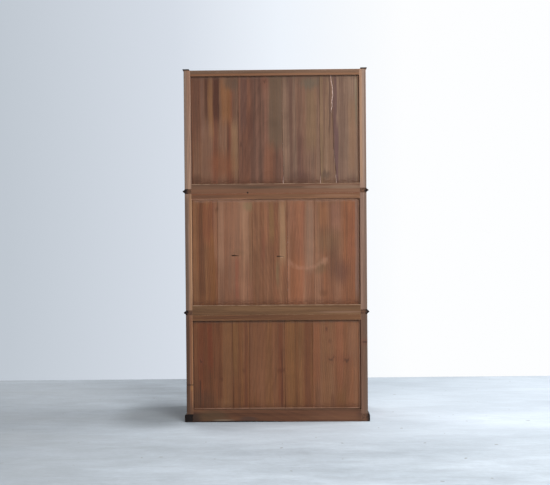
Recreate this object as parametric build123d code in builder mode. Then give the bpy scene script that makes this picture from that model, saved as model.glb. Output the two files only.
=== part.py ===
"""A three-stage mizuya: a Japanese kitchen cupboard of three cases, each standing on the one below.

Every case is a cedar frame of four corner posts on projecting lacquered sills, with rails between
them and thin boards let into their grooves. The front of the cabinet faces -Y and its boarded back
faces +Y. The lowest case has a pair of battened board doors, the middle one three drawers over a
pair of slatted doors, and the top one a taller slatted pair. Left and right are as seen from the
front. All sizes are in millimetres, and the origin lies on the floor below the cabinet's middle.
"""

import os

from build123d import *

# ---------------------------------------------------------------- driving dimensions

# The cases
case_width = 905.0  # across the outside of the corner posts: a little under 3 shaku
case_depth = 420.0  # front face to back face of the corner posts: about 1.4 shaku
lower_height = 536.0
middle_height = 605.0
top_height = 613.0

# Corner posts and rails
back_post = 33.0  # square
front_post_width = 39.0
front_post_depth = 50.0  # takes both door tracks
post_chamfer = 1.5
head_rail = 28.0  # height of the rails round the top of a case
base_foot = 62.0  # from the floor to the top of the foot rails of the lowest case
case_foot = 48.0  # the same in the two cases above
drawer_rail = 24.0  # height of the rail between the doors and the drawers
back_rail_thickness = 27.0
tenon_length = 16.0
tenon_shoulder = 4.0  # above and below each tenon
front_tenon_thickness = 12.0
back_tenon_thickness = 10.0

# Sills and caps, which stand out past the posts and are mitred at the front corners
base_sill = 40.0
case_sill = 24.0
sill_nose = 10.0
base_sill_round = 9.0
bead_radius = 4.5  # of the bead along the outer edge of an upper sill
cove_margin = 1.5  # flat left above and below the coves beside the bead
cove_bow = 0.4
cap_thickness = 7.0
cap_width = 32.0
cap_nose = 5.5
cap_round = 1.2
cap_lip = 3.0  # square edge above the cap's cove
cap_cove_bow = 0.7

# Boards
panel_thickness = 9.0
panel_recess = 10.0  # side panels lie this far inside the posts' outer faces
back_recess = 18.0  # back boards lie this far inside the posts' back faces
housing = 7.0  # how far a board's edge goes into its groove
back_lap = 12.0  # how far the back boards lap onto the back rails
board_gap = 0.6  # open joint between two back boards
floor_thickness = 12.0
roof_thickness = 10.0
roof_rebate = 6.0  # ledge that carries the roof board on the side and back rails
front_rebate = 8.0  # the same on the front rail, behind the door tracks
bearer_width = 20.0
bearer_height = 22.0
middle_shelf_rise = 248.0  # from the floor of the middle case to the top of its shelf
top_shelf_rise = 268.0

# Joints between the back boards, from the cabinet's middle line; -X is the left side
lower_seams = (-180.0, -40.0, 138.0, 220.0)
middle_seams = (-192.0, -57.0, 117.0, 292.0)
top_seams = (-224.0, -37.0, 182.0)

# Sliding doors
door_thickness = 20.0
door_space = 2.0  # between the two doors of a pair
door_setback = 4.0  # from the case's front face to the front door
door_overlap = 34.0  # how far a closed pair laps in the middle
tongue_thickness = 8.0
threshold_groove = 3.0
lintel_groove = 14.0
tongue_rise = 9.0  # how far the door's upper tongue enters the lintel
stile_width = 36.0
door_rail = 38.0
door_tenon = 8.0
door_tenon_shoulder = 9.0  # more than a housing, so that the grooves stay clear
slat_width = 10.0
slat_depth = 12.0
slat_count = 13
nuki_height = 9.0  # the thin bars that pass through the slats
nuki_thickness = 4.0
nuki_count = 3
door_board = 7.0
batten_height = 10.0
batten_thickness = 6.0
batten_count = 11

# Finger pulls, let into the outer stiles
pull_width = 16.0
pull_length = 62.0
pull_depth = 8.0
cup_wall = 1.5
cup_flange = 2.5
cup_flange_thickness = 0.8
cup_bevel = 0.5

# Drawers
drawer_height = 115.0  # of the opening
drawer_count = 3
divider_thickness = 18.0
drawer_clearance = 39.0  # between a drawer and the back boards
drawer_front = 18.0
drawer_side = 9.0
drawer_side_height = 98.0
drawer_bottom = 6.0
drawer_setback = 2.0
drawer_edge_round = 1.5

# Drawer pulls: a square iron bail, hung by round pins in two eyes
bail_bar = 4.4  # square
bail_pin = 2.0  # radius
bail_spread = 64.0  # between the eyes
bail_drop = 25.0
bail_shoulder = 7.5  # from an eye to the leg beside it
bail_corner = 10.0
eye_radius = 4.2
eye_facets = 8
eye_width = 5.0
eye_shank = 5.0
eye_standoff = 11.0  # from the drawer's face to the bail's axis
plate_size = 16.0
plate_thickness = 1.8
plate_bevel = 1.2
bail_rise = 9.0  # the bail's axis above the middle of the drawer front

# Fits
glue_gap = 0.1  # round a tenon or a housed edge
run_gap = 0.3  # under a sliding piece
side_gap = 0.5  # at each side of a sliding piece
top_gap = 1.2  # above a door's shoulders or a drawer
pin_gap = 0.06  # between a bail and its eyes

# ---------------------------------------------------------------- derived places

half = case_width / 2
reach = max(sill_nose, eye_standoff + eye_radius - drawer_setback)
front = (reach - case_depth) / 2  # front face of the posts
back = front + case_depth  # back face of the posts
frame_back = front + front_post_depth  # rear face of the front posts and rails
frame_front = back - back_post  # front face of the back posts
opening = case_width - 2 * front_post_width  # between the front posts
panel_x = half - panel_recess - panel_thickness / 2
inside = half - panel_recess - panel_thickness  # inner face of a side panel
board_back = back - back_recess
board_front = board_back - panel_thickness
track_pitch = door_thickness + door_space
front_track = front + door_setback + door_thickness / 2
rear_track = front_track + track_pitch
groove_width = tongue_thickness + 2 * side_gap
front_tenon_y = (front_track + rear_track) / 2
back_tenon_y = back - back_recess / 2
door_width = (opening + door_overlap) / 2 - side_gap
drawer_opening = (opening - (drawer_count - 1) * divider_thickness) / drawer_count
drawer_face = front + drawer_setback
bail_y = drawer_face - eye_standoff
drawer_end = board_front - drawer_clearance
board_offset = batten_thickness / 2  # a door's board lies this far behind its middle plane


class Case:
    """One of the stacked cases: where it stands, and the levels of its frame."""

    def __init__(self, name, base, height, sill, foot, seams, drawers=0.0):
        self.name = name
        self.base = base
        self.top = base + height
        self.sill_top = base + sill
        self.floor = base + foot
        self.head = self.top - head_rail
        self.seams = seams
        self.drawer_floor = self.head - drawers
        self.lintel = self.drawer_floor - drawer_rail if drawers else self.head
        self.front_rails = [(self.sill_top, self.floor), (self.head, self.top)]
        if drawers:
            self.front_rails.append((self.lintel, self.drawer_floor))
        self.back_rails = [(self.sill_top, self.floor), (self.head, self.top)]


lower = Case("lower", 0.0, lower_height, base_sill, base_foot, lower_seams)
middle = Case("middle", lower.top, middle_height, case_sill, case_foot, middle_seams, drawer_height)
top = Case("top", middle.top, top_height, case_sill, case_foot, top_seams)

os.makedirs("parts", exist_ok=True)


def write(name, *blocks):
    """Labels a finished sub-part and writes it. Pieces from several blocks stay separate solids."""
    sub_part = blocks[0].part
    if len(blocks) > 1:
        sub_part = Compound([solid for block in blocks for solid in block.part.solids()])
    sub_part.label = name
    export_step(sub_part, f"parts/{name}.step")


def span(low, high, mode=Mode.ADD):
    """A rectangle between two opposite corners of the current sketch."""
    with Locations(((low[0] + high[0]) / 2, (low[1] + high[1]) / 2)):
        Rectangle(high[0] - low[0], high[1] - low[1], mode=mode)


def facing_front(y):
    """The upright plane at y, whose sketches are in X and Z and whose extrusions go towards -Y."""
    return Plane.XZ.offset(-y)


# ---------------------------------------------------------------- the cases' frames


def front_tenons(case, gap=0.0):
    """Sections of the front rails' tenons, which lie between the two door tracks."""
    reach_y = front_tenon_thickness / 2 + gap
    for low, high in case.front_rails:
        low_z, high_z = low + tenon_shoulder - gap, high - tenon_shoulder + gap
        span((front_tenon_y - reach_y, low_z), (front_tenon_y + reach_y, high_z))


def back_tenons(case, gap=0.0):
    """Sections of the back rails' tenons, in the rails' outer half."""
    reach_y = back_tenon_thickness / 2 + gap
    for low, high in case.back_rails:
        low_z, high_z = low + tenon_shoulder - gap, high - tenon_shoulder + gap
        span((back_tenon_y - reach_y, low_z), (back_tenon_y + reach_y, high_z))


def corner_posts(case):
    """Four posts, ploughed for the boards between them and mortised for the rails."""
    with BuildPart() as posts:
        with BuildSketch(Plane.XY.offset(case.sill_top)):
            span((half - front_post_width, front), (half, frame_back))
            span((half - back_post, frame_front), (half, back))
            plough = panel_thickness / 2 + glue_gap
            span(
                (panel_x - plough, frame_back - housing - glue_gap),
                (panel_x + plough, frame_front + housing + glue_gap),
                mode=Mode.SUBTRACT,
            )
            span(
                (half - back_post, board_front - glue_gap),
                (half - back_post + housing + glue_gap, board_back + glue_gap),
                mode=Mode.SUBTRACT,
            )
        extrude(amount=case.top - case.sill_top)
        upright = posts.edges().filter_by(Axis.Z)
        chamfer(upright.group_by(Axis.X)[-1], post_chamfer)
        mirror(about=Plane.YZ)
        with BuildSketch(Plane.YZ):
            front_tenons(case, glue_gap)
        extrude(amount=opening / 2 + tenon_length + glue_gap, both=True, mode=Mode.SUBTRACT)
        with BuildSketch(Plane.YZ):
            back_tenons(case, glue_gap)
        mortise_end = half - back_post + tenon_length + glue_gap
        extrude(amount=mortise_end, both=True, mode=Mode.SUBTRACT)
    return posts


def back_rails(case):
    """Foot and head rails of the back, rebated inside for the ends of the back boards."""
    rail_front = back - back_rail_thickness
    with BuildPart() as rails:
        with BuildSketch(Plane.YZ):
            span((rail_front, case.base), (back, case.floor))
            span((rail_front, case.head), (back, case.top))
            rebate_back = board_back + glue_gap
            for low, high in (
                (case.floor - back_lap - glue_gap, case.floor),
                (case.head, case.head + back_lap + glue_gap),
            ):
                span((rail_front, low), (rebate_back, high), mode=Mode.SUBTRACT)
            span(
                (rail_front, case.top - roof_thickness),
                (rail_front + roof_rebate, case.top),
                mode=Mode.SUBTRACT,
            )
        extrude(amount=half - back_post, both=True)
        with BuildSketch(Plane.YZ):
            back_tenons(case)
        extrude(amount=half - back_post + tenon_length, both=True)
    return rails


def front_rails(case):
    """Threshold and lintel with two running grooves each, and the rail over any drawers."""
    with BuildPart() as rails:
        with BuildSketch(Plane.YZ):
            for low, high in case.front_rails:
                span((front, low), (frame_back, high))
            for track in (front_track, rear_track):
                left, right = track - groove_width / 2, track + groove_width / 2
                threshold = case.floor - threshold_groove
                span((left, threshold), (right, case.floor), mode=Mode.SUBTRACT)
                lintel = case.lintel + lintel_groove
                span((left, case.lintel), (right, lintel), mode=Mode.SUBTRACT)
            span(
                (frame_back - front_rebate, case.top - roof_thickness),
                (frame_back, case.top),
                mode=Mode.SUBTRACT,
            )
        extrude(amount=opening / 2, both=True)
        with BuildSketch(Plane.YZ):
            front_tenons(case)
        extrude(amount=opening / 2 + tenon_length, both=True)
    return rails


def side_rails(case, boards_carried):
    """Head rails of the two sides, and the bearers under the boards inside."""
    with BuildPart() as rails:
        with BuildSketch(facing_front(frame_front)):
            span((half - back_post, case.head), (half, case.top))
            plough = panel_thickness / 2 + glue_gap
            groove_top = case.head + housing + glue_gap
            span((panel_x - plough, case.head), (panel_x + plough, groove_top), Mode.SUBTRACT)
            rebate = half - back_post + roof_rebate
            span((half - back_post, case.top - roof_thickness), (rebate, case.top), Mode.SUBTRACT)
            for low, high in boards_carried:
                span((inside - bearer_width, low), (inside, high))
        extrude(amount=frame_front - frame_back)
        with BuildSketch(facing_front(frame_front + housing)):
            haunch = case.head + housing + glue_gap
            span((panel_x - panel_thickness / 2, haunch), (panel_x + panel_thickness / 2, case.top))
        extrude(amount=frame_front - frame_back + 2 * housing)
        mirror(about=Plane.YZ)
    return rails


def side_panels(case):
    """One thin board on each side, housed in the posts, the sill and the head rail."""
    with BuildPart() as panels:
        with BuildSketch(facing_front(frame_front + housing)):
            low, high = case.sill_top - housing / 2, case.head + housing
            span((panel_x - panel_thickness / 2, low), (panel_x + panel_thickness / 2, high))
        extrude(amount=frame_front - frame_back + 2 * housing)
        mirror(about=Plane.YZ)
    return panels


def back_boards(case):
    """Upright boards in the rebates of the back rails, with open joints between them."""
    edge = half - back_post + housing
    lines = (-edge - board_gap / 2, *case.seams, edge + board_gap / 2)
    with BuildPart() as boards:
        with BuildSketch(Plane.XY.offset(case.floor - back_lap)):
            for left, right in zip(lines, lines[1:]):
                low = (left + board_gap / 2, board_front)
                span(low, (right - board_gap / 2, board_back))
        extrude(amount=case.head - case.floor + 2 * back_lap)
    return boards


def inner_board(level):
    """A floor, shelf or deck board with its top at this level, notched round the back posts."""
    with BuildPart() as board:
        with BuildSketch(Plane.XY.offset(level - floor_thickness)):
            span((-inside, frame_back), (inside, board_front))
            for side in (-1, 1):
                with Locations((side * half, back)):
                    Rectangle(
                        2 * (back_post + glue_gap),
                        2 * (back_post + glue_gap),
                        mode=Mode.SUBTRACT,
                    )
        extrude(amount=floor_thickness)
    return board


def roof_board(case):
    """The board let in flush between the head rails, notched round the posts."""
    edge = half - back_post + roof_rebate - glue_gap
    with BuildPart() as board:
        with BuildSketch(Plane.XY.offset(case.top - roof_thickness)):
            low_y = frame_back - front_rebate + glue_gap
            high_y = back - back_rail_thickness + roof_rebate - glue_gap
            span((-edge, low_y), (edge, high_y))
            for side in (-1, 1):
                with Locations((side * half, front)):
                    Rectangle(
                        2 * (front_post_width + glue_gap),
                        2 * (front_post_depth + glue_gap),
                        mode=Mode.SUBTRACT,
                    )
                with Locations((side * half, back)):
                    Rectangle(
                        2 * (back_post + glue_gap),
                        2 * (back_post + glue_gap),
                        mode=Mode.SUBTRACT,
                    )
        extrude(amount=roof_thickness)
    return board


# ---------------------------------------------------------------- sills and caps


def base_section(plane):
    """Section of the base sill: upright in front, rounded over at the top."""
    inner = -back_post
    with BuildSketch(plane) as section:
        with BuildLine():
            Polyline(
                (sill_nose, base_sill - base_sill_round),
                (sill_nose, 0),
                (inner, 0),
                (inner, base_sill),
                (sill_nose - base_sill_round, base_sill),
            )
            RadiusArc(
                (sill_nose - base_sill_round, base_sill),
                (sill_nose, base_sill - base_sill_round),
                base_sill_round,
            )
        make_face()
    return section.sketch


def nosed_section(plane):
    """Section of an upper sill: a bead stands out at mid-height between two coves."""
    middle, root = case_sill / 2, sill_nose - bead_radius
    with BuildSketch(plane) as section:
        with BuildLine():
            Polyline(
                (0, cove_margin),
                (0, 0),
                (-back_post, 0),
                (-back_post, case_sill),
                (0, case_sill),
                (0, case_sill - cove_margin),
            )
            for way in (-1, 1):
                foot, neck = middle + way * (middle - cove_margin), middle + way * bead_radius
                hollow = (root / 2 - cove_bow, (foot + neck) / 2 - way * cove_bow)
                ThreePointArc((0, foot), hollow, (root, neck))
            ThreePointArc(
                (root, middle - bead_radius), (sill_nose, middle), (root, middle + bead_radius)
            )
        make_face()
    return section.sketch


def cap_section(plane):
    """Section of a cap: a thin strip whose lip stands out over a cove."""
    lip_foot, lip_top = cap_thickness - cap_lip, cap_thickness - cap_round
    with BuildSketch(plane) as section:
        with BuildLine():
            Polyline(
                (0, 0),
                (cap_nose - cap_width, 0),
                (cap_nose - cap_width, cap_thickness),
                (cap_nose - cap_round, cap_thickness),
            )
            RadiusArc((cap_nose - cap_round, cap_thickness), (cap_nose, lip_top), cap_round)
            Line((cap_nose, lip_top), (cap_nose, lip_foot))
            hollow = (cap_nose / 2 - cap_cove_bow, lip_foot / 2 + cap_cove_bow)
            ThreePointArc((cap_nose, lip_foot), hollow, (0, 0))
        make_face()
    return section.sketch


def mitred_surround(section, level, nose, groove=None):
    """Left, right and front lengths of one section, mitred where they meet at the front."""
    right_mitre = Plane((half + nose, front - nose, level), x_dir=(0, 0, 1), z_dir=(-1, -1, 0))
    left_mitre = Plane((-half - nose, front - nose, level), x_dir=(0, 0, 1), z_dir=(1, -1, 0))
    with BuildPart() as sides:
        end = Plane((half, back, level), x_dir=(1, 0, 0), z_dir=(0, -1, 0))
        extrude(section(end), amount=case_depth + nose)
        split(bisect_by=right_mitre, keep=Keep.BOTTOM)
        if groove:
            with BuildSketch(Plane.XY.offset(groove)):
                plough = panel_thickness / 2 + glue_gap
                span(
                    (panel_x - plough, frame_back - housing - glue_gap),
                    (panel_x + plough, frame_front + housing + glue_gap),
                )
            extrude(amount=-housing / 2 - glue_gap, mode=Mode.SUBTRACT)
        mirror(about=Plane.YZ)
    with BuildPart() as front_length:
        end = Plane((half + nose, front, level), x_dir=(0, -1, 0), z_dir=(-1, 0, 0))
        extrude(section(end), amount=case_width + 2 * nose)
        split(bisect_by=right_mitre, keep=Keep.TOP)
        split(bisect_by=left_mitre, keep=Keep.TOP)
    return sides, front_length


# ---------------------------------------------------------------- sliding doors


class Door:
    """One sliding door: its place in the case, its track and the levels of its frame."""

    def __init__(self, case, side):
        self.case = case
        self.side = side  # -1 for the left door, 1 for the right one
        self.track = front_track if side > 0 else rear_track
        self.centre = side * (opening / 2 - side_gap - door_width / 2)
        self.low = case.floor + run_gap
        self.high = case.lintel - top_gap
        self.face = self.track - door_thickness / 2
        self.pull_x = self.centre + side * (door_width - stile_width) / 2
        self.pull_z = (self.low + self.high) / 2
        self.inner_left = self.centre - door_width / 2 + stile_width
        self.inner_right = self.centre + door_width / 2 - stile_width
        self.name = f"{case.name}_{'left' if side < 0 else 'right'}_door"


def door_tenons(door, gap=0.0):
    """Sections of a door's rail tenons."""
    reach_y = door_tenon / 2 + gap
    for low, high in ((door.low, door.low + door_rail), (door.high - door_rail, door.high)):
        low_z, high_z = low + door_tenon_shoulder - gap, high - door_tenon_shoulder + gap
        span((door.track - reach_y, low_z), (door.track + reach_y, high_z))


def door_frame(door, stile_groove, rail_groove, cupped):
    """Stiles and through-tenoned rails, grooved inside for the filling, tongued above and below.

    The grooves are (offset from the door's middle plane, width) pairs. The outer stile has a square
    pocket for an iron cup if the door is cupped, and otherwise a round-ended finger slot.
    """
    pocket_fit = 2 * (cup_wall + glue_gap)
    pocket_depth = pull_depth + glue_gap if cupped else pull_depth
    tongue_low = door.case.floor - threshold_groove + run_gap
    tongue_high = door.case.lintel + tongue_rise
    body = (door.track - door_thickness / 2, door.track + door_thickness / 2)
    tongue = (door.track - tongue_thickness / 2, door.track + tongue_thickness / 2)
    left, right = door.centre - door_width / 2, door.centre + door_width / 2

    with BuildPart() as stiles:
        with BuildSketch(Plane.YZ.offset(left)):
            span((body[0], door.low), (body[1], door.high))
            span((tongue[0], tongue_low), (tongue[1], tongue_high))
        extrude(amount=door_width)
        with BuildSketch(Plane.YZ.offset(door.inner_left)):
            span((body[0], tongue_low), (body[1], tongue_high))
        extrude(amount=door.inner_right - door.inner_left, mode=Mode.SUBTRACT)
        with BuildSketch(Plane.YZ.offset(door.inner_left - housing - glue_gap)):
            centre, width = door.track + stile_groove[0], stile_groove[1] + 2 * glue_gap
            low = door.low + door_rail - housing - glue_gap
            high = door.high - door_rail + housing + glue_gap
            span((centre - width / 2, low), (centre + width / 2, high))
        extrude(amount=door.inner_right - door.inner_left + 2 * (housing + glue_gap), mode=Mode.SUBTRACT)
        with BuildSketch(Plane.YZ.offset(left)):
            door_tenons(door, glue_gap)
        extrude(amount=door_width, mode=Mode.SUBTRACT)
        with BuildSketch(facing_front(door.face + pocket_depth)):
            with Locations((door.pull_x, door.pull_z)):
                if cupped:
                    Rectangle(pull_width + pocket_fit, pull_length + pocket_fit)
                else:
                    SlotOverall(pull_length, pull_width, rotation=90)
        extrude(amount=pocket_depth, mode=Mode.SUBTRACT)

    with BuildPart() as rails:
        with BuildSketch(Plane.YZ.offset(door.inner_left)):
            span((body[0], door.low), (body[1], door.low + door_rail))
            span((body[0], door.high - door_rail), (body[1], door.high))
            span((tongue[0], tongue_low), (tongue[1], door.low))
            span((tongue[0], door.high), (tongue[1], tongue_high))
            centre, width = door.track + rail_groove[0], rail_groove[1] + 2 * glue_gap
            for low, high in (
                (door.low + door_rail - housing - glue_gap, door.low + door_rail),
                (door.high - door_rail, door.high - door_rail + housing + glue_gap),
            ):
                span((centre - width / 2, low), (centre + width / 2, high), Mode.SUBTRACT)
        extrude(amount=door.inner_right - door.inner_left)
        with BuildSketch(Plane.YZ.offset(left)):
            door_tenons(door)
        extrude(amount=door_width)
    return stiles, rails


def lattice(door):
    """Upright slats housed in the door's rails, threaded on thin bars that end in its stiles."""
    low, high = door.low + door_rail - housing, door.high - door_rail + housing
    width = door.inner_right - door.inner_left
    slat_pitch = width / (slat_count + 1)
    nuki_pitch = (door.high - door.low - 2 * door_rail) / (nuki_count + 1)
    levels = [door.low + door_rail + nuki_pitch * (n + 1) for n in range(nuki_count)]

    with BuildPart() as slats:
        with BuildSketch(Plane.XY.offset(low)):
            with Locations((door.centre, door.track)):
                with GridLocations(slat_pitch, 0, slat_count, 1):
                    Rectangle(slat_width, slat_depth)
        extrude(amount=high - low)
        with BuildSketch(Plane.YZ.offset(door.inner_left)):
            with Locations(*[(door.track, level) for level in levels]):
                Rectangle(nuki_thickness + 2 * glue_gap, nuki_height + 2 * glue_gap)
        extrude(amount=width, mode=Mode.SUBTRACT)

    with BuildPart() as nuki:
        with BuildSketch(Plane.YZ.offset(door.inner_left - housing)):
            with Locations(*[(door.track, level) for level in levels]):
                Rectangle(nuki_thickness, nuki_height)
        extrude(amount=width + 2 * housing)
    return slats, nuki


def battened_board(door):
    """A thin board housed in the door's frame, with level battens across its face."""
    low, high = door.low + door_rail, door.high - door_rail
    pitch = (high - low) / (batten_count + 1)
    board_face = door.track + board_offset - door_board / 2
    with BuildPart() as board:
        with BuildSketch(Plane.YZ.offset(door.inner_left - housing)):
            span((board_face, low - housing), (board_face + door_board, high + housing))
        extrude(amount=door.inner_right - door.inner_left + 2 * housing)
    with BuildPart() as battens:
        with BuildSketch(Plane.YZ.offset(door.inner_left)):
            for n in range(batten_count):
                level = low + pitch * (n + 1)
                span(
                    (board_face - batten_thickness, level - batten_height / 2),
                    (board_face, level + batten_height / 2),
                )
        extrude(amount=door.inner_right - door.inner_left)
        arrises = battens.edges().filter_by(Axis.X).group_by(Axis.Y)[0]
        chamfer(arrises, post_chamfer)
    return board, battens


def cup_pull(door):
    """An oblong iron cup with a thin bevelled flange, let into the outer stile."""
    length, width = pull_length + 2 * cup_wall, pull_width + 2 * cup_wall
    with BuildPart() as cup:
        with BuildSketch(facing_front(door.face)):
            with Locations((door.pull_x, door.pull_z)):
                Rectangle(width + 2 * cup_flange, length + 2 * cup_flange)
        extrude(amount=cup_flange_thickness)
        chamfer(cup.faces().sort_by(Axis.Y)[0].edges(), cup_bevel)
        with BuildSketch(facing_front(door.face + pull_depth)):
            with Locations((door.pull_x, door.pull_z)):
                Rectangle(width, length)
        extrude(amount=pull_depth)
        with BuildSketch(facing_front(door.face + pull_depth - cup_wall)):
            with Locations((door.pull_x, door.pull_z)):
                Rectangle(pull_width, pull_length)
        extrude(amount=pull_depth - cup_wall + cup_flange_thickness, mode=Mode.SUBTRACT)
    return cup


# ---------------------------------------------------------------- drawers


def drawer_centre(number):
    """Where a drawer's middle lies across the cabinet; number 0 is the leftmost."""
    return (number - (drawer_count - 1) / 2) * (drawer_opening + divider_thickness)


def drawer_guides():
    """Upright dividers between the drawers, and a guide strip at each end of the row."""
    low = middle.drawer_floor
    with BuildPart() as guides:
        with BuildSketch(Plane.XY.offset(low)):
            for number in range(drawer_count - 1):
                line = (drawer_centre(number) + drawer_centre(number + 1)) / 2
                span((line - divider_thickness / 2, front), (line + divider_thickness / 2, board_front))
        extrude(amount=drawer_height)
        with BuildSketch(Plane.XY.offset(low)):
            span((-inside, frame_back), (-opening / 2, frame_front))
            span((opening / 2, frame_back), (inside, frame_front))
        extrude(amount=bearer_height)
    return guides


def drawer_front_board(number):
    """The drawer's front, rebated behind for its sides and its bottom."""
    x = drawer_centre(number)
    reach_x = drawer_opening / 2 - side_gap
    low, high = middle.drawer_floor + run_gap, middle.head - top_gap
    with BuildPart() as board:
        with BuildSketch(facing_front(drawer_face + drawer_front - drawer_side)):
            span((x - reach_x, low), (x + reach_x, high))
        extrude(amount=drawer_front - drawer_side)
        chamfer(board.faces().sort_by(Axis.Y)[0].edges(), drawer_edge_round)
        with BuildSketch(facing_front(drawer_face + drawer_front)):
            span((x - reach_x + drawer_side, low + drawer_bottom), (x + reach_x - drawer_side, high))
        extrude(amount=drawer_side)
    return board


def drawer_box(number):
    """The drawer's sides, back and bottom, nailed together without grooves."""
    x = drawer_centre(number)
    reach_x = drawer_opening / 2 - side_gap
    joint = drawer_face + drawer_front - drawer_side  # where sides and bottom meet the front
    low = middle.drawer_floor + run_gap
    with BuildPart() as bottom:
        with BuildSketch(Plane.XY.offset(low)):
            span((x - reach_x, joint), (x + reach_x, drawer_end))
        extrude(amount=drawer_bottom)
    with BuildPart() as sides:
        with BuildSketch(Plane.XY.offset(low + drawer_bottom)):
            span((x - reach_x, joint), (x - reach_x + drawer_side, drawer_end))
            span((x + reach_x - drawer_side, joint), (x + reach_x, drawer_end))
        extrude(amount=drawer_side_height)
    with BuildPart() as back_board:
        with BuildSketch(Plane.XY.offset(low + drawer_bottom)):
            low_corner = (x - reach_x + drawer_side, drawer_end - drawer_side)
            span(low_corner, (x + reach_x - drawer_side, drawer_end))
        extrude(amount=drawer_side_height)
    return bottom, sides, back_board


def bail_level():
    """Height of the axis that the bails swing on."""
    return (middle.drawer_floor + middle.head) / 2 + bail_rise


def pull_eyes(number):
    """Two forged eyes for the bail, each on a bevelled square plate on the drawer's face."""
    z = bail_level()
    with BuildPart() as eyes:
        for side in (-1, 1):
            eye_x = drawer_centre(number) + side * bail_spread / 2
            with BuildSketch(facing_front(drawer_face)):
                with Locations((eye_x, z)):
                    Rectangle(plate_size, plate_size)
            extrude(amount=plate_thickness)
            outer_faces = eyes.faces().filter_by(Axis.Y).group_by(Axis.Y)[0]
            chamfer(outer_faces.sort_by(Axis.X)[-1].edges(), plate_bevel)
        for side in (-1, 1):
            eye_x = drawer_centre(number) + side * bail_spread / 2
            with BuildSketch(Plane.YZ.offset(eye_x)):
                span((bail_y, z - eye_shank / 2), (drawer_face, z + eye_shank / 2))
                with Locations((bail_y, z)):
                    RegularPolygon(eye_radius, eye_facets)
                    Circle(bail_pin + pin_gap, mode=Mode.SUBTRACT)
            extrude(amount=eye_width / 2, both=True)
    return eyes


def bail(number):
    """The hanging iron handle: a square bar bent to a U, with round pins turned in through the eyes."""
    x, z = drawer_centre(number), bail_level()
    leg, bar = bail_spread / 2 + bail_shoulder, bail_bar / 2
    with BuildPart() as handle:
        with BuildSketch(Plane((x, bail_y, z), x_dir=(1, 0, 0), z_dir=(0, -1, 0))):
            with BuildLine():
                outer = FilletPolyline(
                    (-leg - bar, bar),
                    (-leg - bar, -bail_drop - bar),
                    (leg + bar, -bail_drop - bar),
                    (leg + bar, bar),
                    radius=bail_corner + bar,
                )
                inner = FilletPolyline(
                    (-leg + bar, bar),
                    (-leg + bar, -bail_drop + bar),
                    (leg - bar, -bail_drop + bar),
                    (leg - bar, bar),
                    radius=bail_corner - bar,
                )
                Line(outer @ 0, inner @ 0)
                Line(outer @ 1, inner @ 1)
            make_face()
        extrude(amount=bar, both=True)
        pin = bail_shoulder + eye_width
        for side in (-1, 1):
            with BuildSketch(Plane((x + side * leg, bail_y, z), z_dir=(-side, 0, 0))):
                Circle(bail_pin)
            extrude(amount=pin)
    return handle


# ---------------------------------------------------------------- the whole cabinet

floor_bearers = {
    case.name: (case.sill_top, case.floor - floor_thickness) for case in (lower, middle, top)
}
middle_shelf = middle.floor + middle_shelf_rise
top_shelf = top.floor + top_shelf_rise


def under(level):
    """The heights of a bearer under a board whose top is at this level."""
    return (level - floor_thickness - bearer_height, level - floor_thickness)


bearers = {
    "lower": [floor_bearers["lower"]],
    "middle": [floor_bearers["middle"], under(middle_shelf), under(middle.drawer_floor)],
    "top": [floor_bearers["top"], under(top_shelf)],
}

for case in (lower, middle, top):
    section = base_section if case is lower else nosed_section
    write(f"{case.name}_sills", *mitred_surround(section, case.base, sill_nose, case.sill_top))
    write(f"{case.name}_posts", corner_posts(case))
    write(f"{case.name}_back_rails", back_rails(case))
    write(f"{case.name}_front_rails", front_rails(case))
    write(f"{case.name}_side_rails", side_rails(case, bearers[case.name]))
    write(f"{case.name}_side_panels", side_panels(case))
    write(f"{case.name}_back_boards", back_boards(case))
    write(f"{case.name}_floor_board", inner_board(case.floor))
    write(f"{case.name}_roof_board", roof_board(case))

write("middle_shelf", inner_board(middle_shelf))
write("middle_drawer_deck", inner_board(middle.drawer_floor))
write("middle_drawer_guides", drawer_guides())
write("top_shelf", inner_board(top_shelf))
write("top_caps", *mitred_surround(cap_section, top.top, cap_nose))

for side in (-1, 1):
    door = Door(lower, side)
    board_groove = (board_offset, door_board)
    write(f"{door.name}_frame", *door_frame(door, board_groove, board_groove, cupped=True))
    write(f"{door.name}_panel", *battened_board(door))
    write(f"{door.name}_pull", cup_pull(door))
    for case in (middle, top):
        door = Door(case, side)
        frame = door_frame(door, (0.0, nuki_thickness), (0.0, slat_depth), cupped=False)
        write(f"{door.name}_frame", *frame)
        write(f"{door.name}_lattice", *lattice(door))

for number in range(drawer_count):
    name = f"drawer_{number + 1}"
    write(f"{name}_front", drawer_front_board(number))
    write(f"{name}_box", *drawer_box(number))
    write(f"{name}_eyes", pull_eyes(number))
    write(f"{name}_bail", bail(number))
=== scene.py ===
"""The looks of a three-stage mizuya, a Japanese kitchen cupboard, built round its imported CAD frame.

Units are metres, or millimetres for the marks on the wood, in the frame's own axes: the doors and
drawers face -Y, and the boarded back, at which the camera looks, faces +Y. The back boards are made
here as worn planks, with open joints, a split and two slits. Everything else keeps its CAD shape.
"""

import math
from types import SimpleNamespace

import bmesh
import bpy
import numpy as np
from mathutils import Matrix, Vector


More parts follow.
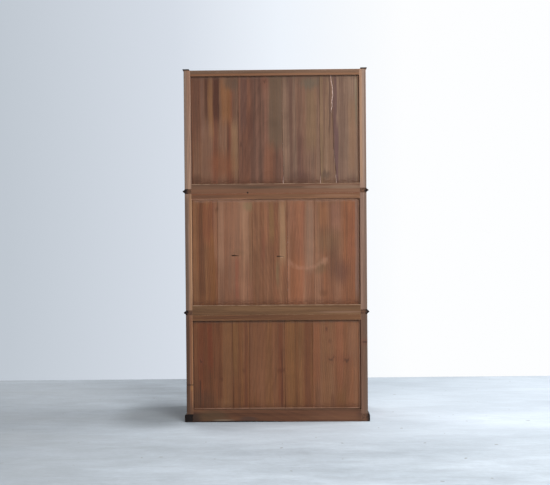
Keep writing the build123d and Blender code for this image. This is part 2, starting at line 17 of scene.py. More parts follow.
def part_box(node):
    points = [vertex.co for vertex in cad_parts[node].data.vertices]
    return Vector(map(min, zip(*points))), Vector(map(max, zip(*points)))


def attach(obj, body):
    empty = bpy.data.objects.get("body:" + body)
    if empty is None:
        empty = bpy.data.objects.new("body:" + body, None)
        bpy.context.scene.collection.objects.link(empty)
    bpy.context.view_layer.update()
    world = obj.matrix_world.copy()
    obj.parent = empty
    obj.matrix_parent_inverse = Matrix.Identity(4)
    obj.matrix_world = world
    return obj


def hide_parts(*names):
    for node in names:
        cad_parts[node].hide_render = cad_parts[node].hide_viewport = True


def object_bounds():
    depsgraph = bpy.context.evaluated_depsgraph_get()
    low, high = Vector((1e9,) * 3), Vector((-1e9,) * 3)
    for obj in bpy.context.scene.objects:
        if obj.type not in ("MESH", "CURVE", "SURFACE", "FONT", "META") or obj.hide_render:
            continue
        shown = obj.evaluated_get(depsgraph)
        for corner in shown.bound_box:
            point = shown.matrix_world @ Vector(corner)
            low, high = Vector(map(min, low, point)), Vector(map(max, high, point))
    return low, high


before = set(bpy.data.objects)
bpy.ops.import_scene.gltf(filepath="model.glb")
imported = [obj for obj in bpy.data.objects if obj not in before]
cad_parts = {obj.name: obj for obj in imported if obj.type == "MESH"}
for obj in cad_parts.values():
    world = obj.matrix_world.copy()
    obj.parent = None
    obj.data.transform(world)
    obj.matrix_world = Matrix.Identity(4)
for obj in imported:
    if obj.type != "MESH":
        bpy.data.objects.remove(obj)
cad_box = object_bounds()

MM = 0.001
CASES = ("lower", "middle", "top")
UP, ACROSS, DEEP = 2, 0, 1  # the axis that a piece's grain runs along

# ---------------- places, from the frame

posts_low, posts_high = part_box("top_posts")
HALF = posts_high.x  # outer face of the posts
FRONT, BACK = posts_low.y, posts_high.y
FRAME_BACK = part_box("top_front_rails")[1].y  # rear face of the front frame
PANEL_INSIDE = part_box("top_floor_board")[1].x  # inner face of a side panel
BOARD_FRONT, BOARD_BACK = (corner.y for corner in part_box("top_back_boards"))
POST_INSIDE = HALF - 33 * MM  # inner face of a back post
HEIGHT = cad_box[1].z


def case_levels(case):
    """Heights of a case's base and top, of its back boards, and of their visible part, low to high.

    dusted is how high the dust line and its painted highlight lie on the boards, and how much painted
    light lifts the shade under the head rail is given last.
    """
    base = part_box(f"{case}_back_rails")[0].z
    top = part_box(f"{case}_posts")[1].z
    boards_low, boards_high = (corner.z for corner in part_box(f"{case}_back_boards"))
    lap = 12 * MM
    dusted = 3 * MM if case == "lower" else 0
    return SimpleNamespace(
        base=base, top=top, low=boards_low + lap, high=boards_high - lap,
        boards_low=boards_low, boards_high=boards_high, dusted=dusted,
        painted_light_under_head=0.8 if case == "middle" else 0,
    )


LEVELS = {case: case_levels(case) for case in CASES}

# ---------------- colours

# Colours are written as a display shows them, 0 to 255. shade and Look turn them to linear light.


def linear(colour):
    """Linear light of a display colour. Linear light, of four parts, and node sockets stay."""
    if not isinstance(colour, tuple) or len(colour) == 4:
        return colour
    return (*[((part / 255 + 0.055) / 1.055) ** 2.4 for part in colour], 1)


def shade(colour, amount):
    """The same colour, lighter or darker, in linear light."""
    return (*[part * amount for part in linear(colour)[:3]], 1)


GREY_BROWN = (103, 82, 70)
RED_BROWN = (115, 65, 48)
DEEP_BROWN = (90, 58, 42)
ORANGE_BROWN = (139, 88, 55)
OLIVE_BROWN = (121, 95, 68)
FRESH_WOOD = (184, 157, 146)
PLUM = (90, 63, 61)
DRIFT, DUST_AND_HIGHLIGHT = (98, 66, 52), (186, 148, 124)  # settled behind the lowest foot rail; the pale line is also a painted highlight of the rail's lit top
PAINTED_LIGHT = (192, 142, 114)  # painted light that lifts cast shadows, under the middle head rail and beside the right post
BARK = (52, 34, 27)
RAW_INSIDE = (150, 118, 90)
LACQUER = (30, 24, 23)
WIPED = (74, 44, 31)
WIPED_LIGHT = (112, 70, 46)
DOOR_WOOD = (72, 42, 28)
DOOR_LIGHT = (108, 66, 42)
DRAWER_WOOD = (84, 48, 30)
DRAWER_LIGHT = (126, 78, 48)
IRON = (40, 38, 38)
RUST = (78, 52, 40)

# ---------------- material nodes


def add_node(tree, kind, inputs=None, **settings):
    """A new shader node of this kind, with its inputs linked to sockets or set to values."""
    node = tree.nodes.new("ShaderNode" + kind)
    for key, value in settings.items():
        setattr(node, key, value)
    for key, value in (inputs or {}).items():
        if isinstance(value, bpy.types.NodeSocket):
            tree.links.new(value, node.inputs[key])
        else:
            node.inputs[key].default_value = value
    return node


class Look:
    """One material under construction. Its methods add nodes and return their output sockets."""

    def __init__(self, name):
        self.material = bpy.data.materials.new(name)
        self.material.use_nodes = True
        self.tree = self.material.node_tree
        self.tree.nodes.clear()
        coordinates = self.add("TexCoord")
        self.place = coordinates.outputs["Object"]
        self.x, self.y, self.z = self.split(self.place)
        self.warped = self.x, self.y, self.z  # where marks are looked up; a board warps these
        self.normal_x, self.normal_y, self.normal_z = self.split(coordinates.outputs["Normal"])

    def add(self, kind, inputs=None, **settings):
        return add_node(self.tree, kind, inputs, **settings)

    def split(self, vector):
        return self.add("SeparateXYZ", {0: vector}).outputs

    def calc(self, operation, first, second=0, third=0):
        inputs = {0: first, 1: second, 2: third}
        return self.add("Math", inputs, operation=operation).outputs[0]

    def times(self, first, second, *more):
        product = self.calc("MULTIPLY", first, second)
        return self.times(product, *more) if more else product

    def minus(self, first, second):
        return self.calc("SUBTRACT", first, second)

    def length(self, across, along):
        """How long a vector with these two parts is."""
        squares = (self.times(part, part) for part in (across, along))
        return self.calc("SQRT", self.calc("ADD", *squares))

    def rise(self, value, low, high, start=0, end=1):
        """Goes smoothly from start to end as the value goes from low to high."""
        inputs = {"Value": value, "From Min": low, "From Max": high, "To Min": start, "To Max": end}
        return self.add("MapRange", inputs, interpolation_type="SMOOTHSTEP").outputs[0]

    def band(self, value, low, high, soft):
        """1 between low and high, fading out over soft on each side."""
        into = self.rise(value, low - soft, low + soft)
        return self.times(into, self.rise(value, high - soft, high + soft, 1, 0))

    def scaled(self, scale, offset=(0, 0, 0), at=None):
        inputs = {"Vector": at or self.place, "Scale": scale, "Location": offset}
        return self.add("Mapping", inputs).outputs[0]

    def noise(self, scale, detail=2, roughness=0.5, distortion=0, at=None):
        inputs = {"Vector": at or self.place, "Scale": scale, "Detail": detail, "Roughness": roughness}
        return self.add("TexNoise", {**inputs, "Distortion": distortion}).outputs[0]

    def mix(self, amount, under, over, mode="MIX"):
        inputs = {0: amount, 6: linear(under), 7: linear(over)}
        return self.add("Mix", inputs, data_type="RGBA", blend_type=mode).outputs[2]

    def dimmed(self, colour, factor, amount=1):
        """The colour times a grey factor."""
        return self.mix(amount, colour, self.grey(factor), "MULTIPLY")

    def choose(self, amount, first, second):
        """Mixes two vectors."""
        inputs = {0: amount, 4: first, 5: second}
        return self.add("Mix", inputs, data_type="VECTOR").outputs[1]

    def vector(self, operation, first, second):
        return self.add("VectorMath", {0: first, 1: second}, operation=operation).outputs[0]

    def drifted(self, amount, stretch, offset, scale, detail=2, at=None):
        """A place moved at random by up to half these amounts, which change slowly."""
        inputs = {"Vector": self.scaled(stretch, offset), "Scale": scale, "Detail": detail}
        random = self.add("TexNoise", inputs).outputs[1]
        drift = self.vector("MULTIPLY", self.vector("SUBTRACT", random, (0.5, 0.5, 0.5)), amount)
        return self.vector("ADD", at or self.place, drift)

    def grey(self, value):
        return self.add("CombineXYZ", {0: value, 1: value, 2: value}).outputs[0]

    def ramp(self, value, *stops):
        node = self.add("ValToRGB", {0: value})
        elements = node.color_ramp.elements
        while len(elements) < len(stops):
            elements.new(1)
        for element, (position, colour) in zip(elements, stops):
            element.position, element.color = position, linear(colour)
        return node.outputs[0]

    def mark(self, name):
        """A mesh attribute, such as how near a plank's edge a point lies."""
        return self.add("Attribute", attribute_name=name).outputs["Fac"]

    def edges(self, radius):
        """1 on outer arrises of the shape and 0 on its flats."""
        soft = self.add("Bevel", {"Radius": radius}, samples=4).outputs[0]
        flat = self.add("NewGeometry").outputs["Normal"]
        product = self.add("VectorMath", {0: soft, 1: flat}, operation="DOT_PRODUCT")
        return self.rise(product.outputs["Value"], 0.99, 0.86)

    def sideways(self):
        """How much the shape faces away from the cabinet's middle plane, from -1 to 1."""
        return self.times(self.normal_x, self.calc("SIGN", self.x))

    def finish(self, colour, roughness, height, depth, softened=0, metallic=0, specular=0.5):
        """Puts the shader on, with a bump of this depth and arrises softened by this radius."""
        bump_inputs = {"Height": height, "Distance": depth}
        if softened:
            bevel = self.add("Bevel", {"Radius": softened}, samples=4)
            bump_inputs["Normal"] = bevel.outputs[0]
        bump = self.add("Bump", bump_inputs).outputs[0]
        shader = self.add("BsdfPrincipled", {
            "Base Color": colour, "Roughness": roughness, "Normal": bump,
            "Metallic": metallic, "Specular IOR Level": specular,
        })
        self.add("OutputMaterial", {0: shader.outputs[0]})
        return self.material


# ---------------- wood


def grain_place(look, axis, seed):
    """Coordinates drawn out along the grain and gently wandering, for every scale of figure."""
    stretch = [1, 1, 1]
    stretch[axis] = 0.022
    slow = [2.5, 2.5, 2.5]
    slow[axis] = 1.6
    offset = (seed * 3.1, seed * 1.7, seed * 2.3)
    amount = [0.01, 0.01, 0.01]
    amount[axis] = 0
    return look.scaled(stretch, offset, at=look.drifted(amount, slow, offset, 1))


def yearly_rings(look, axis, seed, pitch):
    """Rings about a slanting pith outside the piece: straight lines, arches, and true end grain."""
    draw = np.random.default_rng(seed)
    parts = look.split(look.drifted((0.012, 0.012, 0.012), (5, 5, 5), (seed, 0, 0), 1))
    from_pith = []
    for side in (side for side in (0, 1, 2) if side != axis):
        pith = draw.uniform(0.03, 0.12) * draw.choice((-1, 1))
        slant = draw.uniform(0.02, 0.07) * draw.choice((-1, 1))
        middle = look.calc("MULTIPLY_ADD", parts[axis], slant, pith)
        from_pith.append(look.minus(parts[side], middle))
    year = look.calc("FRACT", look.calc("DIVIDE", look.length(*from_pith), pitch))
    return look.times(look.rise(year, 0.3, 0.93), look.rise(year, 1, 0.93))


def figure(look, axis, seed, contrast=1, pitch=7 * MM, place=None):
    """Broad bands, narrow streaks, fine fibres and yearly rings of a sawn board."""
    along = place or grain_place(look, axis, seed)
    return SimpleNamespace(
        broad=look.noise(34, 3, 0.55, at=along),
        hue=look.noise(21, at=look.scaled((1, 1, 1), (5, 9, 2), at=along)),
        narrow=look.noise(190, 3, 0.62, at=along),
        fibre=look.noise(900, at=along),
        rings=yearly_rings(look, axis, seed, pitch),
        contrast=contrast,
    )


def grained(look, wood, dark, base, light, warm, line=0.13):
    """Colour of the wood: tones in broad bands, a warmer hue here and there, and fine grain."""
    spread = 0.16 / wood.contrast
    colour = look.ramp(wood.broad, (0.5 - spread, dark), (0.5, base), (0.5 + spread, light))
    colour = look.mix(look.rise(wood.hue, 0.46, 0.7, 0, 0.65), colour, warm)
    streaks = look.rise(wood.narrow, 0.32, 0.68, 0.88, 1.1)
    fibres = look.rise(wood.fibre, 0.25, 0.75, 0.9, 1.08)
    rings = look.minus(1 + line / 3, look.times(wood.rings, line))
    return look.dimmed(colour, look.times(streaks, fibres, rings))


def grain_height(look, wood, ridges=0.6):
    """Height of the grain for a bump: hard late rings stand proud of the worn early wood."""
    height = look.calc("MULTIPLY_ADD", wood.fibre, 0.5, wood.narrow)
    return look.calc("MULTIPLY_ADD", wood.rings, ridges, height)


# Marks. Their places and sizes are in millimetres.

ABOVE_ALL = 10_000
STREAK_FADE = 45 * MM  # over which a streak comes and goes along its length


def as_mark(paint):
    """Turns paint(look, under, *sizes) into a mark, which is given its sizes first."""
    return lambda *sizes: lambda look, under: paint(look, under, *sizes)


@as_mark
def streak(look, under, x, width, colour, strength=0.5, low=0, high=ABOVE_ALL, soft=0.5):
    """A vertical streak of another tone in a board, between two heights."""
    x, reach = x * MM, width / 2 * MM
    mask = look.band(look.warped[0], x - reach, x + reach, reach * soft)
    if low > 0 or high < ABOVE_ALL:
        mask = look.times(mask, look.band(look.warped[2], low * MM, high * MM, STREAK_FADE))
    return look.mix(look.times(mask, strength), under, colour)


@as_mark
def spot(look, under, x, z, wide, tall, colour, strength, soft=1.2):
    """An oval stain or patch."""
    across = look.calc("DIVIDE", look.minus(look.warped[0], x * MM), wide / 2 * MM)
    upright = look.calc("DIVIDE", look.minus(look.warped[2], z * MM), tall / 2 * MM)
    mask = look.rise(look.length(across, upright), 1 + soft / 2, 1 - soft / 2, 0, strength)
    return look.mix(mask, under, colour)


@as_mark
def knot(look, under, x, z, wide, tall, strength=0.6):
    """A dark knot with a redder halo drawn out along the grain."""
    halo = spot(x, z, wide * 2.2, tall * 3.4, RED_BROWN, 0.5 * strength, 1.4)
    heart = spot(x, z, wide, tall, BARK, strength, 0.9)
    return heart(look, halo(look, under))


@as_mark
def crack(look, under, x, low, high, width, lean):
    """A dark shake along the grain, leaning over by a little from its foot to its head."""
    low, high, width, sway = low * MM, high * MM, width * MM, 6 * MM
    wave = look.times(look.noise(38, 3, at=look.grey(look.z)), sway)
    start = x * MM - sway / 2
    middle = look.calc("ADD", wave, look.rise(look.z, low, high, start, start + lean * MM))
    away = look.calc("ABSOLUTE", look.minus(look.x, middle))
    line = look.rise(away, width * 0.7, width * 0.3, 0, 0.85)
    return look.mix(look.times(line, look.band(look.z, low, high, 10 * MM)), under, BARK)


@as_mark
def arc(look, under, x, z, wide, tall, width, low, high, colour, strength):
    """The lower side of an oval ring, as a hand or a cloth wipes it."""
    across = look.minus(look.wandered[0], x * MM)
    upright = look.times(look.minus(look.wandered[2], z * MM), wide / tall)
    radius, reach = wide / 2 * MM, width / 2 * MM
    ring = look.band(look.length(across, upright), radius - reach, radius + reach, reach)
    patchy = look.rise(look.noise(60, 3), 0.3, 0.65, 0.35, 1)
    level = look.band(look.z, low * MM, high * MM, 12 * MM)
    return look.mix(look.times(ring, level, patchy, strength), under, colour)


def dust_and_painted_shading(look, cloud, levels):
    """Mask and colour pairs at a board's foot, head and post sides; several are painted light and shade.
    """
    low, high = levels.low, levels.high
    blotchy = look.noise(45, 4, 0.65, at=look.scaled((1, 1, 3)))
    # Darker towards the foot rail, in blotches.
    foot = look.rise(look.z, low + 38 * MM, low + 6 * MM)
    yield look.times(foot, look.rise(blotchy, 0.35, 0.65, 0.1, 0.7)), shade(DEEP_BROWN, 0.85)
    # A grey-brown band under the head rail; in the middle case it is paler, painted light that lifts the
    # rail's shadow.
    band_under_head_rail = look.rise(look.z, high - 22 * MM, high - 6 * MM)
    band_under_head_rail = look.times(band_under_head_rail, look.rise(blotchy, 0.35, 0.65, 0.1, 0.6))
    yield band_under_head_rail, (150, 120, 102) if levels.painted_light_under_head else GREY_BROWN
    # Painted light: a pale band just under the middle case's head rail, lifting its cast shadow.
    painted_light_band = look.band(look.z, high - 7 * MM, high - 2 * MM, 1.5 * MM)
    yield look.times(painted_light_band, levels.painted_light_under_head), PAINTED_LIGHT
    # In the lowest case a band at the foot, and above it a pale line of dust that is also a painted
    # highlight of the foot rail's lit top.
    if levels.dusted:
        drifted = low + levels.dusted
        yield look.rise(look.z, drifted + 1 * MM, drifted - 2 * MM, 0, 0.85), DRIFT
        line = look.band(look.z, drifted - 1 * MM, drifted + 2 * MM, 1.2 * MM)
        yield look.times(line, 0.75, look.rise(cloud, 0.35, 0.6, 0.5, 1)), DUST_AND_HIGHLIGHT
    left, right = POST_INSIDE, -POST_INSIDE  # as the photograph has them
    # Painted shade: a dark line in the corner by the left post.
    yield look.rise(look.x, left - 5 * MM, left - 1 * MM, 0, 0.85), BARK
    # Painted shade: a red-brown tint in the corner by the right post, colouring the post's cast shadow.
    yield look.rise(look.x, right + 3.5 * MM, right + 1.5 * MM, 0, 0.9), (112, 60, 40)
    # Painted light: a pale band beside the right post that lifts the post's cast shadow.
    drawn_out = look.band(look.x, right + 2.5 * MM, right + 7.5 * MM, 1.5 * MM)
    yield look.times(drawn_out, 0.75), PAINTED_LIGHT


def board_look(name, seed, tones, marks, levels, contrast):
    """Raw, aged cedar of one back board, with its own streaks, stains and knots."""
    look = Look(name)
    wood = figure(look, UP, seed, contrast, (6 + seed % 4) * MM)
    colour = grained(look, wood, *tones, line=0.08)
    wandered = look.drifted((0.01, 0, 0.03), (1, 1, 0.35), (seed, 0, 0), 22, 3)
    ragged = look.drifted((0.018, 0, 0.05), (1, 1, 0.03), (0, seed, 0), 150, at=wandered)
    look.wandered, look.warped = look.split(wandered), look.split(ragged)
    for paint in marks:
        colour = paint(look, colour)
    colour = look.dimmed(colour, look.rise(wood.narrow, 0.3, 0.7, 0.92, 1.05), 0.6)
    cloud = look.noise(7, 4, 0.65)
    colour = look.dimmed(colour, look.rise(cloud, 0.25, 0.75, 0.9, 1.09))
    for mask, over in dust_and_painted_shading(look, cloud, levels):
        colour = look.mix(mask, colour, over)
    colour = look.mix(look.times(look.mark("edge"), 0.5), colour, BARK)
    colour = look.mix(look.mark("fresh"), colour, FRESH_WOOD)
    roughness = look.rise(wood.narrow, 0.3, 0.7, 0.7, 0.88)
    return look.finish(colour, roughness, grain_height(look, wood), 0.5 * MM, specular=0.3)


# ---------------- the back boards


class Seam:
    """The joint between two boards, or a split in one: its line, its width and its torn arris."""

    WANDER, WAVE_RATES = 0.15 * MM, (9, 23, 61)  # height of its waves, and their radians a metre
    STEEP = 180  # how abruptly a torn stretch begins and ends

    def __init__(self, path, seed=0, gap=0.3 * MM, opened=(), torn=()):
        self.path = path if isinstance(path, tuple) else ((path, 0), (path, HEIGHT))
        self.phases = np.random.default_rng(seed).uniform(0, 2 * math.pi, 3)
        self.gap, self.opened, self.torn_spans = gap, opened, torn

    def line(self, z):
        """The X of the joint, which wanders a little with the height."""
        xs, zs = zip(*self.path)
        waves = sum(np.sin(z * rate + phase) for rate, phase in zip(self.WAVE_RATES, self.phases))
        return np.interp(z, zs, xs) + self.WANDER * waves

    def width(self, z):
        """How far the joint is open, more so near the heights in opened."""
        return self.gap + sum(
            more * np.exp(-(((z - height) / reach) ** 2)) for height, reach, more in self.opened
        )

    def torn(self, z):
        """How far pale wood has torn off the arris on the joint's +X side, from 0 to 1."""
        ragged = 0.8 + 0.2 * np.sin(z * 330 + 2 * np.sin(z * 90))
        return ragged * sum(
            strength / (1 + np.exp((low - z) * self.STEEP)) / (1 + np.exp((z - high) * self.STEEP))
            for low, high, strength in self.torn_spans
        )


def placed(name, mesh):
    """A new object with this mesh, in the scene."""
    piece = bpy.data.objects.new(name, mesh)
    bpy.context.scene.collection.objects.link(piece)
    return piece


def closed_mesh(name, points, faces):
    """A mesh with all its faces turned outward."""
    mesh = bpy.data.meshes.new(name)
    mesh.from_pydata(points, [], faces)
    form = bmesh.new()
    form.from_mesh(mesh)
    bmesh.ops.recalc_face_normals(form, faces=form.faces)
    form.to_mesh(mesh)
    form.free()
    return mesh


# Round a worn arris: how far in from the edge and below the face, as shares of its radius, how
# dirty, and how fresh where the wood has torn off.
ARRIS = ((0, 0.8, 0.9, 1), (0.29, 0.36, 0.45, 1), (0.7, 0.1, 0.15, 0.9))
TORN_ACROSS, TORN_DEEP = 4.8 * MM, 1.6 * MM  # how much wood is gone where an arris is fully torn


def plank(name, low_seam, high_seam, levels, seed):
    """A board between two joints, cupped and planed by hand, with worn arrises.

    Its two long edges meet the neighbours' 3 mm under the back face, and stand apart above that.
    """
    draw = np.random.default_rng(seed)
    pitch, meeting, shut = 6 * MM, 0.02 * MM, 3 * MM
    wave_depth, ripple_depth = 0.12 * MM, 0.1 * MM
    rows = int((levels.boards_high - levels.boards_low) / pitch)
    z = np.linspace(levels.boards_low, levels.boards_high, rows)
    worn = 0.8 * MM + 0.3 * MM * np.sin(z * 31 + seed) * np.sin(z * 11)
    still = np.zeros(rows)
    phase = draw.uniform(0, 2 * math.pi, 4)
    cup = draw.uniform(0.2, 0.6) * MM

    def relief(x, t):
        """Depth of the cupping and the plane marks below the board's face."""
        waves = np.sin(x * 95 + phase[0] + 3 * np.sin(z * 2.1 + phase[1]))
        ripple = np.sin(z * 19 + phase[2] + 2 * np.sin(x * 17 + phase[3]))
        return cup * (2 * t - 1) ** 2 + wave_depth * (waves + 1) + ripple_depth * (ripple + 1)

    def long_edge(seam, way, torn):
        """Columns round one long edge from the front to the face: x, y, dirt and fresh wood."""
        edge = seam.line(z) + way * seam.width(z) / 2
        behind = seam.line(z) + way * meeting
        radius = worn + TORN_ACROSS * torn
        clean = 1 - np.minimum(torn * 2, 1)
        return radius, edge, [
            (behind, still + BOARD_FRONT, still + 1, still),
            (behind, still + BOARD_BACK - shut - TORN_DEEP * torn, still + 1, 0.3 * torn),
            *(
                (edge + way * inward * radius, BOARD_BACK - below * radius, dirt * clean, fresh * torn)
                for inward, below, dirt, fresh in ARRIS
            ),
        ]

    low_radius, low_x, low_columns = long_edge(low_seam, 1, low_seam.torn(z))
    high_radius, high_x, high_columns = long_edge(high_seam, -1, still)
    face_low, face_high = low_x + low_radius, high_x - high_radius
    face_columns = []
    for t in np.linspace(0, 1, max(6, int((face_high - face_low).mean() / pitch))):
        x = face_low + (face_high - face_low) * t
        face_columns.append((x, BOARD_BACK - relief(x, t), still, still))
    columns = np.array(low_columns + face_columns + high_columns[::-1])

    count = len(columns)
    heights = np.repeat(z[:, None], count, 1)
    points = np.stack([columns[:, 0].T, columns[:, 1].T, heights], axis=2).reshape(-1, 3)
    faces = [tuple(range(count))[::-1], tuple((rows - 1) * count + column for column in range(count))]
    for row in range(rows - 1):
        here, above = row * count, (row + 1) * count
        for column in range(count):
            after = (column + 1) % count
            faces.append((here + column, here + after, above + after, above + column))

    mesh = closed_mesh(name, points.tolist(), faces)
    for label, values in (("edge", columns[:, 2]), ("fresh", columns[:, 3])):
        attribute = mesh.attributes.new(label, "FLOAT", "POINT")
        attribute.data.foreach_set("value", np.clip(values.T.reshape(-1), 0, 1).astype(np.float32))
    mesh.shade_smooth()
    mesh.set_sharp_from_angle(angle=math.radians(50))
    return placed(name, mesh)


def cut_slit(piece, x, z, length, height, seed):
    """Cuts a ragged slit through a board: blunt at its +X end, tapering to the other."""
    draw = np.random.default_rng(seed)
    t = np.linspace(0, 1, 12)
    taper = height / 2 * np.minimum(1, (1 - t) * 6) * (0.22 + 0.78 * t**1.5)
    thin, sag = 0.2 * MM, 1.6 * MM
    upper, lower = (taper * (1 + draw.uniform(-0.15, 0.15, t.size)) + thin for _ in range(2))
    sagging = z - sag / 2 + sag * t
    xs = x - length / 2 + length * t
    outline = list(zip(xs, sagging + upper)) + list(zip(xs, sagging - lower))[::-1]

    count, margin = len(outline), 2 * MM
    sides = (BOARD_FRONT - margin, BOARD_BACK + margin)
    points = [(float(px), y, float(pz)) for y in sides for px, pz in outline]
    faces = [tuple(range(count)), tuple(range(count, 2 * count))[::-1]]
    for k in range(count):
        after = (k + 1) % count
        faces.append((k, after, count + after, count + k))
    cutter = placed("cutter", closed_mesh("cutter", points, faces))

    modifier = piece.modifiers.new("cut", "BOOLEAN")
    modifier.operation, modifier.solver, modifier.object = "DIFFERENCE", "EXACT", cutter
    bpy.context.view_layer.update()
    evaluated = piece.evaluated_get(bpy.context.evaluated_depsgraph_get())
    piece.data = bpy.data.meshes.new_from_object(evaluated)
    piece.modifiers.clear()
    bpy.data.objects.remove(cutter)


SPLIT = Seam(
    (
        (-0.3095, 1.17), (-0.298, 1.3), (-0.2915, 1.38), (-0.291, 1.44), (-0.288, 1.51),
        (-0.2815, 1.55), (-0.2885, 1.57), (-0.2875, 1.598), (-0.2925, 1.628), (-0.2915, 1.67),
        (-0.285, 1.7), (-0.2845, 1.75),
    ),
    seed=7, gap=0.5 * MM, opened=((1.66, 0.07, 1.8 * MM), (1.2, 0.06, 1.2 * MM)),
    torn=((1.545, 1.8, 1.1), (1.28, 1.36, 0.4), (1, 1.235, 0.9)),
)
TORN_FOOT = ((1, 1.22, 1),)
BOARD_END = HALF - 26 * MM  # the outer boards' hidden edges, in the posts' grooves

# The joints of each case from the photograph's left to its right, which is from +X to -X.
SEAMS = {
    "top": [
        Seam(0.182, 1),
        Seam(((-0.042, 1.18), (-0.037, 1.4)), 2, torn=TORN_FOOT),
        Seam(((-0.228, 1.18), (-0.224, 1.4)), 3, torn=TORN_FOOT),
        SPLIT,
    ],
    "middle": [Seam(0.292, 4), Seam(0.117, 5), Seam(-0.057, 6), Seam(-0.192, 8)],
    "lower": [
        Seam(0.22, 9),
        Seam(0.138, 10),
        Seam(-0.04, 11, opened=((0.08, 0.16, 1 * MM),)),
        Seam(-0.18, 12),
    ],
}
SLITS = {  # of a case and a board: X, Z, length and height
    ("middle", 1): (0.2045, 0.8315, 38 * MM, 7.4 * MM),
    ("middle", 2): (-0.02, 0.826, 38 * MM, 6.2 * MM),
}
CONTRAST = {"lower": 0.8, "middle": 0.9, "top": 1}  # of the grain, where a board says nothing
BACK_BOARDS = {case: [] for case in CASES}  # from the photograph's left to its right


def board(case, tones, *marks, contrast=None):
    """The next back board of a case: its tones (dark, base, light, warm), and the marks on it."""
    BACK_BOARDS[case].append((tones, marks, contrast or CONTRAST[case]))


WIPE = arc(-148, 836, 205, 138, 26, 755, 822, (170, 126, 103), 0.34)

board(
    "top", ((87, 56, 41), (107, 72, 53), (122, 88, 68), (116, 65, 47)),
    streak(393, 40, (93, 60, 47), 0.5, 1400, 1800),
    streak(361, 18, (111, 81, 68), 0.5, 1420, 1800),
    streak(343, 16, (77, 49, 37), 0.75, 1540, 1800),
    streak(320, 24, (128, 88, 55), 0.6, 1420, 1700),
    streak(292, 32, (72, 42, 31), 0.85, 1500, 1760),
    streak(296, 20, (97, 63, 47), 0.5, 1200, 1500),
    streak(245, 52, (132, 87, 53), 0.65, 1500, 1710),
    streak(193, 34, (101, 74, 60), 0.6, 1440, 1680),
    streak(205, 34, (136, 104, 75), 0.6, 1240, 1500),
    streak(340, 50, (132, 99, 80), 0.4, 1220, 1500),
    spot(265, 1290, 120, 120, (125, 74, 48), 0.55, 1.4),
    spot(213, 1695, 80, 65, (85, 69, 57), 0.65),
    spot(395, 1215, 60, 50, (79, 51, 37), 0.6),
)
board(
    "top", ((81, 54, 44), (101, 70, 56), (119, 83, 67), (113, 71, 52)),
    streak(155, 30, (89, 62, 54), 0.6, 1460, 1800),
    streak(113, 22, (83, 56, 46)),
    streak(-6, 78, (96, 78, 61), 0.7, 1360, 1800, 0.3),
    streak(30, 44, (125, 78, 54), 0.5, 1200, 1380),
    spot(125, 1470, 30, 150, (77, 48, 39), 0.5),
    knot(50, 1700, 14, 20, 0.4),
    spot(171, 1385, 8, 30, (64, 40, 31), 0.7, 0.8),
)
board(
    "top", ((92, 68, 57), (110, 83, 68), (124, 96, 78), (113, 79, 62)),
    streak(-80, 16, (92, 63, 52), 0.55),
    streak(-125, 34, (94, 61, 52), 0.55, 1190, 1440),
    streak(-180, 50, OLIVE_BROWN, 0.5, 1360, 1660),
    spot(-175, 1690, 90, 50, (98, 89, 74), 0.6),
    spot(-125, 1215, 120, 60, (79, 52, 45), 0.5),
)
board(
    "top", ((108, 80, 66), (124, 94, 74), (136, 107, 86), OLIVE_BROWN),
    streak(-273, 12, (82, 59, 52), 0.7, 1440, 1800, 0.3),
    spot(-252, 1232, 50, 40, (82, 65, 55), 0.6),
)
board(
    "top", ((100, 73, 61), (120, 94, 78), (136, 109, 90), (125, 90, 67)),
    streak(-300, 18, PLUM, 0.75, 1460, 1800, 0.3),
    streak(-304, 20, (97, 70, 68), 0.85, 1000, 1480, 0.3),
    streak(-335, 26, (96, 69, 58)),
    streak(-383, 36, (140, 106, 80), 0.5, 1240, 1600),
    streak(-410, 20, (122, 111, 90), 0.55, 1480, 1720),
    streak(-423, 14, (82, 57, 47)),
)
board(
    "middle", ((101, 64, 43), (122, 79, 51), (137, 96, 64), RED_BROWN),
    streak(408, 30, (119, 83, 58), 0.55),
    streak(345, 36, (122, 67, 46), 0.55, 900, 1100),
    streak(315, 24, (127, 83, 46), 0.5, 600, 940),
    streak(362, 22, (96, 60, 41), 0.55, 600, 920),
    streak(301, 20, (137, 97, 74), 0.55, 800, 1120),
    spot(298, 1060, 18, 22, (97, 61, 43), 0.5, 1),
    contrast=1,
)
board(
    "middle", ((115, 79, 59), (130, 90, 68), (148, 108, 83), (132, 86, 62)),
    streak(275, 30, (146, 108, 85), 0.5, 760, 1100),
    streak(215, 60, (132, 95, 74), 0.45, 660, 1100),
    streak(196, 16, (136, 77, 57), 0.55, 600, 830),
    streak(150, 30, (152, 113, 87), 0.5, 800, 1100),
    streak(126, 14, (120, 86, 59), 0.5, 700, 1100),
    spot(135, 1075, 50, 40, (117, 101, 72), 0.55, 1.3),
    spot(296, 1060, 18, 22, (97, 61, 43), 0.5, 1),
    spot(190, 845, 60, 30, (115, 86, 62), 0.4),
    contrast=0.8,
)
board(
    "middle", ((105, 68, 46), (120, 80, 57), (136, 96, 69), (132, 84, 59)),
    streak(50, 18, (144, 94, 67), 0.5, 880, 1100),
    streak(64, 20, (130, 78, 57), 0.5, 800, 950),
    streak(22, 26, (128, 96, 60), 0.5, 900, 1100),
    streak(-8, 16, (107, 92, 65), 0.5, 680, 800),
    streak(-34, 34, (151, 118, 88), 0.65, 800, 1100, 0.3),
    streak(98, 24, (103, 68, 46), 0.5, 600, 860),
    spot(-30, 819.5, 16, 6, (186, 146, 120), 0.6, 0.8),
    spot(-45, 640, 30, 40, (107, 72, 48), 0.4, 1.3),
)
board(
    "middle", ((117, 77, 54), (131, 89, 67), (145, 104, 78), (137, 86, 60)),
    streak(-82, 22, (117, 75, 51), 0.55, 600, 950),
    streak(-130, 18, (141, 86, 62), 0.55),
    streak(-168, 40, (139, 108, 88), 0.6, 760, 1100),
    streak(-100, 60, (135, 83, 54), 0.4, 600, 820),
    spot(-35, 800, 50, 18, (150, 112, 88), 0.5),
    WIPE,
)
